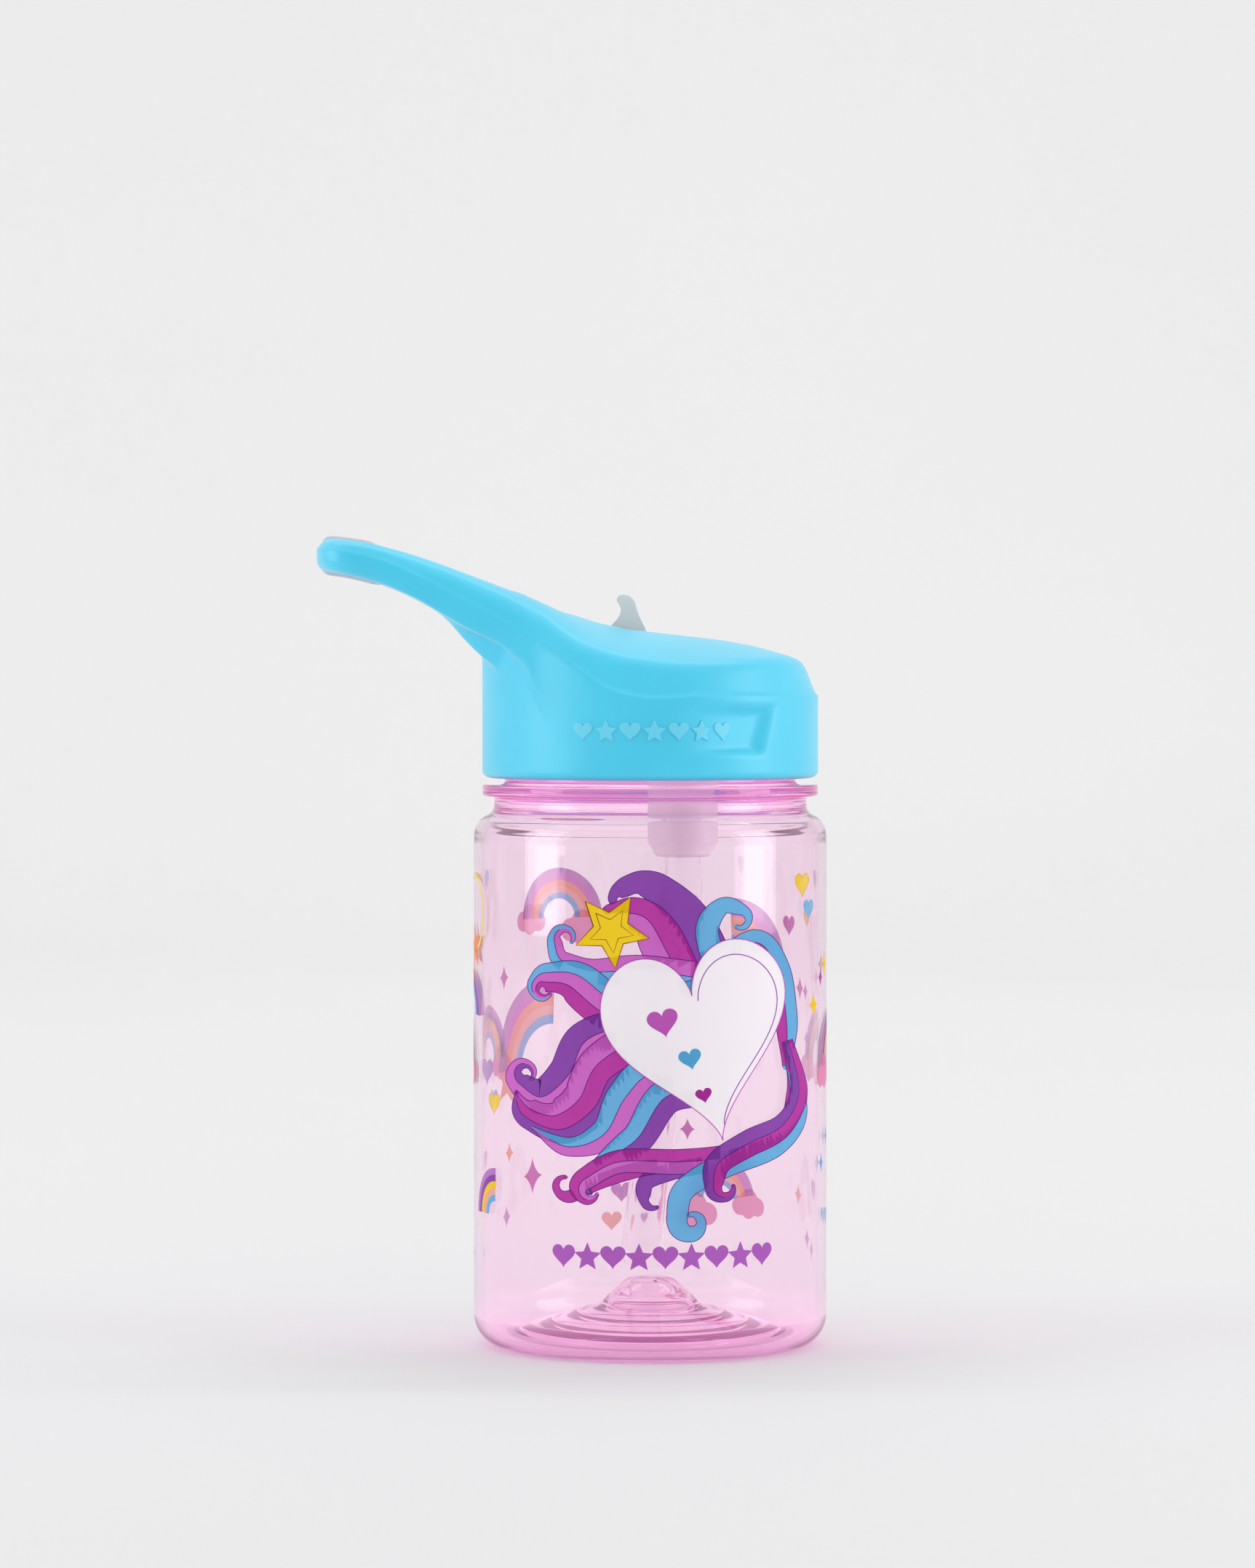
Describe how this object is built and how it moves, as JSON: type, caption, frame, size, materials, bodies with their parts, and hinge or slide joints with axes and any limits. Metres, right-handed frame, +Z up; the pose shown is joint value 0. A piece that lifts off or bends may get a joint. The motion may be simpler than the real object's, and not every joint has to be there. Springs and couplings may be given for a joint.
{
  "type": "water bottle",
  "caption": "Clear children's drinking bottle with a screw lid, a carry loop moulded with the lid, a flip-up spout and a straw.",
  "frame": {"origin": "on the bottle's axis at its standing plane", "axes": "+Z up along the bottle, -X towards the carry loop, Y along the spout's pivot"},
  "size_m": [0.1008, 0.07, 0.1605],
  "materials": {
    "clear_pink": "clear gloss copolyester, tinted pink",
    "sky_blue": "fine matte moulded polypropylene",
    "frosted": "frosted translucent polypropylene",
    "silicone": "soft silicone",
    "grip_grey": "soft grey elastomer",
    "spout_grey": "satin moulded plastic",
    "soft_grey": "soft grey elastomer",
    "steel": "plain drawn pin",
    "straw_clear": "clear flexible plastic"
  },
  "bodies": {
    "bottle": {"bottle_body": "clear_pink"},
    "lid_rise_ring": {"lid_seal": "silicone"},
    "lid": {"lid_shell": "sky_blue", "lid_liner": "frosted", "handle_grip": "grip_grey", "spout_pin_left": "steel", "spout_pin_right": "steel", "spout_seal": "silicone", "straw_socket": "frosted", "straw": "straw_clear", "vent_valve": "silicone"},
    "spout": {"spout_body": "spout_grey", "spout_thumb_tab": "soft_grey", "spout_mouthpiece": "soft_grey"}
  },
  "joints": [
    {"name": "lid_rise", "type": "slide", "parent": "bottle", "child": "lid_rise_ring", "axis": [0, 0, 1], "range_m": [0, 0.005]},
    {"name": "lid_screw", "type": "hinge", "parent": "lid_rise_ring", "child": "lid", "pos_m": [0, 0, 0.12], "axis": [0, 0, 1], "range_deg": [0, 450]},
    {"name": "spout_flip", "type": "hinge", "parent": "lid", "child": "spout", "pos_m": [0.0065, 0, 0.131], "axis": [0, 1, 0], "range_deg": [0, 75]}
  ],
  "couplings": [
    {"joint": "lid_rise", "follows": "lid_screw", "m_per_rad": 0.00063662}
  ]
}
